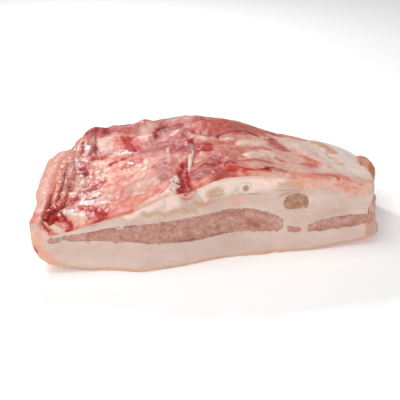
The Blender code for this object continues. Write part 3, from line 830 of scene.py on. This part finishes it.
darkness, warmth, rise = layered(plan, (
    ("rusty smear", ((-130, -34), (-122, -24)), 11, 0.58, 0.7, 0),
    ("mauve membrane", ((-121, -4), (-116, 18), (-109, 60)), 12, 0.36, 0.3, 0),
    ("pale membrane at the back", ((-118, 44), (-112, 60)), 8, 0.26, 0.6, 0),
    ("orange side by the wall", ((-130, -34), (-127.5, -15), (-126, 12), (-119, 42)), 3.6, 0.44, 1.0, 0),
    ("red specks", ((-120, 2), (-117, 12)), 2.4, 0.56, 0.4, 0),
), np.full(len(plan), 0.75), np.full(len(plan), 0.65))
record_on(clot, tone=darkness, warmth=warmth)

# Clotted blood sets like jelly: it is dark and glossy, with rounded lumps. The membrane over it is
# as wet, and paler.
material, tree, shader, spot = wet_tissue("clotted blood and membrane", 0.32, 0.45, 0.12)
fine = grain_of(tree, spot, (1.8, 1.8, 1.8), 5.0, 0.7)
broad = grain_of(tree, spot, (6, 6, 6), 5.0, 0.66, 0.6)
tone = shifted(tree, shifted(tree, "tone", broad, 0.3), fine, 0.3)
tree.links.new(flesh_colour(tree, tone, "warmth"), shader.inputs["Base Color"])
small_lumps = grain_of(tree, spot, (1.8, 1.8, 1.8), 1.0)
ripple(tree, shader, shifted(tree, grain_of(tree, spot, (4, 4, 4), 1.5, 0.45), small_lumps, 0.3), 0.9)
piece_of("clot_by_the_wall", clot, material, "loose_lean")


# ---- Tendon and fat tags -------------------------------------------------------------------
# A strip of tendon and a clump of loose white fat beside the cleft, torn and left standing, and
# pale scraps of flesh in the notch at the front of the wall.
ground_tree = tree_of(meat)


def on_meat(path, lift):
    """Points on the plan, in millimetres, as places that far above the meat."""
    spots = [ground_tree.ray_cast(Vector((x * MM, y * MM, 0.2)), Vector((0, 0, -1)))[0] for x, y in path]
    return [spot / MM + Vector((0, 0, lift)) for spot in spots]


tags = bmesh.new()
lump(tags, on_meat(((-18, -12), (-19, -20), (-20, -30), (-23, -42)), 0.4), 1.9, 1.3, 1.0, 0.2)
for turn in range(9):  # the clump of loose fat
    x = -34.5 - 3.5 * (turn / 8) + 2.0 * math.sin(turn * 2.4)
    y = -52 - 2.2 * turn
    lump(tags, on_meat(((x - 1.6, y + 1.4), (x, y), (x + 1.2, y - 1.8)), 0.6), 2.1, 1.4, 3.0 * turn, 0.45)
# two pale pieces that fill the notch between the wall and the meat, at the front
lump(tags, ((-130, -66, 37), (-127, -72, 37), (-119, -75, 35.5)), 3.6, 2.2, 9.0, 0.2)
lump(tags, ((-140, -65.2, 41), (-136, -68, 37), (-133, -70.4, 32), (-131.5, -70.6, 28)), 5.2, 5.2, 11.0, 0.08)
# a thinner strand of the tendon
lump(tags, on_meat(((-15, -9), (-18, -18), (-21, -28)), 0.2), 1.3, 0.9, 13.0, 0.3)

# Tendon and fat are the palest tissues here. Light sinks far into them, so their edges look soft.
material, tree, shader, spot = wet_tissue("white tendon and loose fat", 0.4, 0.25, 0.25)
fine = grain_of(tree, spot, (2.4, 2.4, 2.4), 5.0, 0.65)
pale = add(tree, "ShaderNodeMix", 2, {0: fine, 6: linear("#DFB6A5"), 7: linear("#F2DFD1")}, data_type="RGBA")
pinker = add(
    tree, "ShaderNodeMix", 2, {0: fine, 6: linear("#DDB19F"), 7: linear("#E9CAB8")}, data_type="RGBA"
)
pale = add(tree, "ShaderNodeMix", 2, {0: "notch", 6: pale, 7: pinker}, data_type="RGBA")
for amount, raggedness, colour in (("lean", 0.3, "#BD8878"), ("blood", 0.4, "#BE3327")):
    ragged = shifted(tree, amount, fine, raggedness)
    pale = add(tree, "ShaderNodeMix", 2, {0: ragged, 6: pale, 7: linear(colour)}, data_type="RGBA")
tree.links.new(pale, shader.inputs["Base Color"])
ripple(tree, shader, fine, 0.3)
tendon = mesh_of(tags, "tendon_and_fat_tags")
places = places_of(tendon) / MM
notch = eased(-100, -105, places[:, 0])
front = strayed(places[:, [0, 2]], 4, 0.5, 53)
record_on(
    tendon,
    notch=notch,
    blood=painted(front, ((((-139, 44.5), (-135.5, 40), (-130.5, 34.5)), 1.1),), 0.4) * notch,
    lean=painted(front, ((((-126, 32.5), (-120, 31)), 3.0),), 0.5) * notch,
)
piece_of("tendon_and_fat_tags", tendon, material, "soft_fat")


# ---- Vessels and folds in the cut ----------------------------------------------------------
# The knife opened two small vessels, whose pale walls stand a little proud of the fat. Thin folds
# of membrane run beside them, round the gland and at the foot of the cleft.
LARGE_VESSEL = (18.4, 57.4)  # the middles of their mouths on the front, as (x, z) in mm
SMALL_VESSEL = (10.6, 56.4)
cut_trees = (tree_of(soft_fat), ground_tree)


def on_cut(path):
    """Points on the front, given as (x, z) in millimetres, as places on the fat or the meat."""
    places = []
    for x, z in path:
        hits = [tree.ray_cast(Vector((x * MM, -0.2, z * MM)), Vector((0, 1, 0)))[0] for tree in cut_trees]
        places.append(min((hit for hit in hits if hit), key=lambda hit: hit.y) / MM)
    return places


opened = bmesh.new()
for mouth, radius, wall in ((LARGE_VESSEL, 3.5, 0.9), (SMALL_VESSEL, 2.2, 0.5)):
    middle = on_cut((mouth,))[0]
    placed = Matrix.Translation((middle + Vector((radius, 0, 0))) * MM)
    rim = bmesh.ops.create_circle(opened, segments=10, radius=wall * MM, matrix=placed)
    edges = list(dict.fromkeys(edge for vertex in rim["verts"] for edge in vertex.link_edges))
    bmesh.ops.spin(
        opened, geom=rim["verts"] + edges, cent=middle * MM, axis=(0, 1, 0), angle=math.tau, steps=32,
        use_merge=True,
    )
    across = [middle + Vector((-radius, 0, 0)), middle + Vector((radius, 0, 0))]
    lump(opened, across, 0.5, radius * 0.9, mouth[0], 0.1)
for path, width, out in (
    # the folded membrane at the foot of the cleft
    (((-37, 63), (-34, 59), (-29.5, 56)), 1.7, 0.68),
    (((-29.5, 56), (-25, 56.5), (-20.5, 61)), 1.7, 0.68),
    # thin lines of membrane in the fat, the last one round the gland
    (((-15, 55), (-6, 52.5), (3, 54.5)), 0.35, 0),
    (((12, 52.2), (20, 52.6), (30, 51.6)), 0.45, 0),
    (((38, 54.8), (50, 53.4), (64, 54.4)), 0.45, 0),
    (((43, 46), (44, 50.5), (50, 52.4), (60, 52)), 0.55, 0),
):
    route = [place - Vector((0, out, 0)) for place in on_cut(path)]
    lump(opened, route, width * 0.6, width, path[0][0], 0.25)
folds = mesh_of(opened, "vessels_and_folds")
spots = places_of(folds)[:, [0, 2]] / MM
bore = painted(spots, (((LARGE_VESSEL,), 2.4),), 0.4) + 0.4 * painted(spots, (((SMALL_VESSEL,), 1.6),), 0.6)
vessels = painted(spots, (((LARGE_VESSEL,), 5.0), ((SMALL_VESSEL,), 3.1)), 0.1)
record_on(
    folds,
    tan=np.maximum(bore, 0.75 * (1 - vessels)),
    salmon=painted(spots, ((((-37, 63), (-29.5, 56), (-20.5, 61)), 5),), 0.1) * 0.85,
)

# A vessel's wall is pale and rubbery, and what it holds dries tan. Membrane is thin enough to take
# the colour of what lies under it.
material, tree, shader, spot = wet_tissue("vessel wall and membrane", 0.4, 0.25, 0.2)
fine = grain_of(tree, spot, (1.5, 1.5, 1.5), 5.0, 0.65)
tan = shifted(tree, "tan", fine, 0.4)
colour = add(tree, "ShaderNodeMix", 2, {0: tan, 6: linear("#EADACC"), 7: linear("#B48664")}, data_type="RGBA")
folded = add(
    tree, "ShaderNodeMix", 2, {0: fine, 6: linear("#D98F76"), 7: linear("#EBC0A6")}, data_type="RGBA"
)
colour = add(tree, "ShaderNodeMix", 2, {0: "salmon", 6: colour, 7: folded}, data_type="RGBA")
tree.links.new(colour, shader.inputs["Base Color"])
ripple(tree, shader, fine, 0.3)
piece_of("vessels_and_folds", folds, material, "soft_fat")


# ---- The knob and wrinkles of rind at the right end ----------------------------------------
# At the right end the rind dried and shrank a little. It curls up into an amber knob at the back,
# and it puckers into wrinkles at the front corner.
end = bmesh.new()
# the knob
lump(end, ((127, -30, 33), (140, -10, 42), (142, 10, 42), (139, 36, 36)), 5.4, 5.6, 2.0, 0.12)
# the wrinkles, one under the other
for turn, (z, half_height, out) in enumerate(((32, 4.6, 0.6), (26, 3.6, 0), (20, 4.4, 0.4), (13, 4.0, -0.6))):
    path = ((120.5 + out, -63, z), (123.5 + out, -56, z + 0.6), (126 + out, -45, z))
    lump(end, path, 2.4, half_height, 4.0 * turn, 0.35)

# Skin that dries turns amber and horny, with a low sheen. Where it stays moist it is pink.
material, tree, shader, spot = wet_tissue("dried rind", 0.45, 0.25, 0.15)
broad = shifted(tree, grain_of(tree, spot, (7, 7, 7), 4.0), grain_of(tree, spot, (1.6, 1.6, 1.6)), 0.3)
amber = add(tree, "ShaderNodeValToRGB", "Color", {"Fac": broad}, stops=(
    (0.0, "#9E5A3A"), (0.5, "#C4825C"), (1.0, "#D9A784"),
))
pink = add(tree, "ShaderNodeValToRGB", "Color", {"Fac": broad}, stops=(
    (0.0, "#9A5F50"), (0.3, "#CB9886"), (1.0, "#E6BDAD"),
))
skin = add(tree, "ShaderNodeMix", 2, {0: "amber", 6: pink, 7: amber}, data_type="RGBA")
skin = add(tree, "ShaderNodeMix", 2, {0: "cream", 6: skin, 7: linear("#E2CDC1")}, data_type="RGBA")
tree.links.new(skin, shader.inputs["Base Color"])
ripple(tree, shader, grain_of(tree, spot, (2, 2, 2), 2.0), 0.4)
curled = mesh_of(end, "curled_rind")
places = places_of(curled) / MM
knob = eased(-42, -36, places[:, 1])
record_on(curled, amber=knob, cream=eased(135, 131.5, places[:, 0]) * knob)
piece_of("curled_rind", curled, material, "rind_and_back_fat")


# ---- The studio ----------------------------------------------------------------------------
# A plain white sweep, a large soft light overhead and a fill from the front. A small bright lamp
# behind the meat draws the sharp highlights on wet film and juice.
VIEW_FROM = (-8.0, 25.0)  # degrees to the side of the front, and above the horizon
LENS = 70.0  # mm
DISTANCE = 0.640  # metres from the camera to the point that it aims at
AIM = Vector((-0.0113, -0.0213, 0.030))

ground = bmesh.new()
bmesh.ops.create_grid(ground, x_segments=1, y_segments=1, size=6.0)
sweep_mesh = bpy.data.meshes.new("floor")
ground.to_mesh(sweep_mesh)
ground.free()
sweep = bpy.data.objects.new("floor", sweep_mesh)
bpy.context.scene.collection.objects.link(sweep)
# Matt paper has no gloss. A faint glow stands for the light that white walls throw back on it.
paper = bpy.data.materials.new("matt white paper")
paper.use_nodes = True
shader = paper.node_tree.nodes["Principled BSDF"]
shader.inputs["Base Color"].default_value = linear("#FFFFFF")
shader.inputs["Roughness"].default_value = 0.9
shader.inputs["Emission Color"].default_value = linear("#FFFFFF")
shader.inputs["Emission Strength"].default_value = 0.12
sweep_mesh.materials.append(paper)

world = bpy.data.worlds.new("white room")
world.use_nodes = True
world.node_tree.nodes["Background"].inputs["Color"].default_value = linear("#FFFFFF")
world.node_tree.nodes["Background"].inputs["Strength"].default_value = 0.3
bpy.context.scene.world = world


def softbox(name, place, size, watts):
    """A square soft light that faces the meat."""
    light = bpy.data.lights.new(name, "AREA")
    light.shape = "SQUARE"
    light.size = size
    light.energy = watts
    lamp = bpy.data.objects.new(name, light)
    bpy.context.scene.collection.objects.link(lamp)
    lamp.location = place
    lamp.rotation_euler = (Vector((0, 0, 0.03)) - Vector(place)).to_track_quat("-Z", "Y").to_euler()


softbox("overhead softbox", (-0.45, -0.15, 1.15), 0.9, 7)
softbox("front fill", (-0.3, -1.35, 0.6), 1.2, 9)
softbox("small bright lamp", (-0.25, 0.85, 0.75), 0.12, 5)

azimuth, elevation = (math.radians(a) for a in VIEW_FROM)
back = Vector((
    math.sin(azimuth) * math.cos(elevation),
    -math.cos(azimuth) * math.cos(elevation),
    math.sin(elevation),
))
camera = bpy.data.objects.new("camera", bpy.data.cameras.new("camera"))
bpy.context.scene.collection.objects.link(camera)
camera.data.lens = LENS
camera.data.clip_start = 0.01
camera.location = AIM + back * DISTANCE
camera.rotation_euler = (-back).to_track_quat("-Z", "Y").to_euler()
bpy.context.scene.camera = camera
bpy.context.scene.view_settings.view_transform = "Standard"
